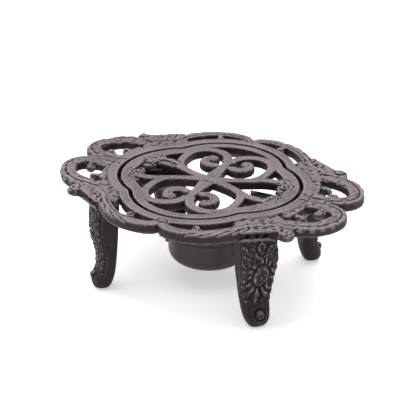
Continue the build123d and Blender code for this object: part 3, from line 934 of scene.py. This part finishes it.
def carve_leg(mesh):
    """Wavy rim, medallion, flutes, leaves and the toe's eye raised or cut on the leg's
    front, and a groove down its sides: each moves the skin along its normal."""
    points, normals = read_skin(mesh)
    x, y, z = points.T
    front = ramp(normals[:, 0], 0.15, 0.55)
    half = np.interp(z, *np.array(LEG_SECTIONS)[:, [0, 3]].T)
    edge = half - np.abs(y)
    rise = 0.5 * dip(edge - 1.4, 0.8) * ramp(z, 12, 16) * (0.5 + 0.5 * np.cos(2 * pi * z / 5.2))
    oval = np.hypot(y / MEDALLION_SIZE[0], (z - MEDALLION) / MEDALLION_SIZE[1])
    turn = np.arctan2((z - MEDALLION) / MEDALLION_SIZE[1], y / MEDALLION_SIZE[0])
    rise += 0.9 * ramp(1 - oval, 0, 0.25) - 0.8 * dip(oval - 1.12, 0.1)
    # Deep uneven flutes round the medallion, longest below it
    turn = turn + 0.5 * (value_noise(points, 5.0, 9) - 0.5)
    flute = (0.5 + 0.5 * np.cos(FLUTES * turn)) ** 1.5
    outer = 1.8 + 0.75 * ramp(-np.sin(turn), 0.2, 1)
    wreath = ramp(oval, 1.15, 1.35) * ramp(outer - oval, 0, 0.3)
    rise += wreath * (0.7 - 1.8 * flute)
    for foot, lean in CROWN:
        rise += 0.7 * leaf_rise(y, z, foot, lean, 8.5, 2.6)
    rise += 1.2 * (value_noise(points, 1.9, 8) - 0.5) * ramp(z, 10, 14)
    ball = np.hypot(y, z - TOE_BALL[1])
    rise -= 1.4 * dip(ball, 1.0) + 0.7 * dip(ball - 3.3, 0.6)
    # A groove follows the leg's edge down each smooth side wall
    sides = ramp(np.abs(normals[:, 1]), 0.35, 0.8)
    reach = np.interp(z, *np.array(LEG_SECTIONS)[:, :2].T)
    groove = 0.45 * dip(reach - x - 3.2, 0.5) * ramp(z, 8, 12)
    write_skin(mesh, points + normals * (rise * front - groove * sides)[:, None])


class WARMER_OT_legs(bpy.types.Operator):
    """Cast the four cabriole legs"""

    bl_idname = "warmer.legs"
    bl_label = "Legs"

    def execute(self, context):
        s = context.scene.castings
        pattern = mesh_piece("leg_pattern", leg_shapes())
        fuse(pattern, s.leg_mesh, smoothing=2)
        carve_leg(pattern.data)
        points, _ = read_skin(pattern.data)
        for number, (name, azimuth) in enumerate(LEG_PLACES.items()):
            mesh = pattern.data.copy()
            a = radians(azimuth)
            write_skin(mesh, turned(points, azimuth) + (LEG_CIRCLE * cos(a), LEG_CIRCLE * sin(a), 0))
            piece = bpy.data.objects.new(name + "_casting", mesh)
            context.scene.collection.objects.link(piece)
            sand_cast(mesh, s.grain * 0.8, seed=31 + number)
            store_relief(mesh, spread=0.13, rounds=3)
            finish_piece(piece, "stand", [name], shared_material("cast iron", cast_iron))
        bpy.data.objects.remove(pattern)
        return {"FINISHED"}


# ---- Cup, straps and fasteners ---------------------------------------------------------------

class WARMER_OT_fittings(bpy.types.Operator):
    """Finish the tealight cup, its hanger straps, the screws and the rivets"""

    bl_idname = "warmer.fittings"
    bl_label = "Cup and fittings"

    def execute(self, context):
        iron, steel = shared_material("smooth iron", smooth_iron), shared_material("screw steel", screw_steel)
        finishes = {
            "tealight_cup": iron, "hanger_left": iron, "hanger_right": iron,
            "leg_screws": steel, "hanger_screws": steel, "cup_rivets": steel,
        }
        for name, material in finishes.items():
            for slot in frame["nodes"][name].material_slots:
                slot.material = material
        return {"FINISHED"}


# ---- Stage --------------------------------------------------------------------------------

FLOOR_LINES = 9
AIM = (0, 0, 0.04)


def hang_light(name, kind, place, energy):
    """A light hung at a place in metres and aimed at the stand."""
    light = bpy.data.lights.new(name, kind)
    light.energy = energy
    lamp = bpy.data.objects.new(name, light)
    aim = (Vector(AIM) - Vector(place)).to_track_quat("-Z", "Y")
    lamp.matrix_world = Matrix.Translation(place) @ aim.to_matrix().to_4x4()
    bpy.context.scene.collection.objects.link(lamp)
    return light


class WARMER_OT_stage(bpy.types.Operator):
    """Set up the floor, the lights and the camera"""

    bl_idname = "warmer.stage"
    bl_label = "Stage"

    def execute(self, context):
        scene, s = context.scene, context.scene.stage
        reach = np.linspace(-4, 4, FLOOR_LINES)
        flat = np.zeros((FLOOR_LINES, FLOOR_LINES))
        grid = np.stack([*np.meshgrid(reach, reach), flat], axis=-1).reshape(-1, 3)
        r, c = np.mgrid[0 : FLOOR_LINES - 1, 0 : FLOOR_LINES - 1]
        first = (r * FLOOR_LINES + c).ravel()
        corners = [first, first + 1, first + FLOOR_LINES + 1, first + FLOOR_LINES]
        mesh = bpy.data.meshes.new("floor")
        mesh.from_pydata(grid.tolist(), [], np.stack(corners, axis=1).tolist())
        mesh.materials.append(shared_material("floor card", floor_card))
        floor = bpy.data.objects.new("floor", mesh)
        scene.collection.objects.link(floor)

        world = bpy.data.worlds.new("studio")
        world.use_nodes = True
        sky = world.node_tree.nodes["Background"]
        sky.inputs["Color"].default_value = (1, 1, 1, 1)
        sky.inputs["Strength"].default_value = 0.55
        scene.world = world
        scene.view_settings.view_transform = "Standard"
        hang_light("overhead light", "SUN", (-0.25, 0.35, 1.0), 3.6).angle = radians(75)
        hang_light("softbox left", "AREA", (-0.9, -0.8, 0.6), 2.4).size = 0.7
        hang_light("softbox right", "AREA", (1.0, -0.3, 0.5), 1.2).size = 0.7

        a, e, r = s.azimuth, s.elevation, s.roll
        right = Vector((cos(a), sin(a), 0))
        ahead = Vector((-sin(a) * cos(e), cos(a) * cos(e), -sin(e)))
        up = Vector((-sin(a) * sin(e), cos(a) * sin(e), cos(e)))
        place = Vector((0, 0, TOP * MM)) - s.aside * right - s.above * up - s.distance * ahead
        right, up = cos(r) * right - sin(r) * up, sin(r) * right + cos(r) * up
        lens = bpy.data.cameras.new("camera")
        lens.sensor_width, lens.lens = 36.0, s.lens
        lens.clip_start, lens.clip_end = 0.01, 20.0
        camera = bpy.data.objects.new("camera", lens)
        turn = Matrix((right, up, -ahead)).transposed().to_4x4()
        camera.matrix_world = Matrix.Translation(place) @ turn
        scene.collection.objects.link(camera)
        scene.camera = camera
        return {"FINISHED"}


# ---- Panel and registration ----------------------------------------------------------------

class WARMER_PT_panel(bpy.types.Panel):
    """The pieces of the teapot warmer"""

    bl_label = "Teapot warmer"
    bl_idname = "WARMER_PT_panel"
    bl_space_type = "VIEW_3D"
    bl_region_type = "UI"
    bl_category = "Warmer"

    def draw(self, context):
        for operator in OPERATORS:
            self.layout.operator(operator.bl_idname)
        for name in SETTINGS:
            settings = getattr(context.scene, name)
            for setting in settings.__annotations__:
                self.layout.prop(settings, setting)


OPERATORS = (WARMER_OT_frame, WARMER_OT_grate, WARMER_OT_legs, WARMER_OT_fittings, WARMER_OT_stage)
SETTINGS = {"castings": CastingSettings, "finishes": FinishSettings, "stage": StageSettings}


def register():
    for kind in (*SETTINGS.values(), *OPERATORS, WARMER_PT_panel):
        bpy.utils.register_class(kind)
    for name, kind in SETTINGS.items():
        setattr(bpy.types.Scene, name, PointerProperty(type=kind))


def unregister():
    for name in SETTINGS:
        delattr(bpy.types.Scene, name)
    for kind in (WARMER_PT_panel, *OPERATORS, *SETTINGS.values()):
        bpy.utils.unregister_class(kind)


def main():
    register()
    bpy.ops.warmer.frame()
    bpy.ops.warmer.grate()
    bpy.ops.warmer.legs()
    bpy.ops.warmer.fittings()
    bpy.ops.warmer.stage()


if __name__ == "__main__":
    main()
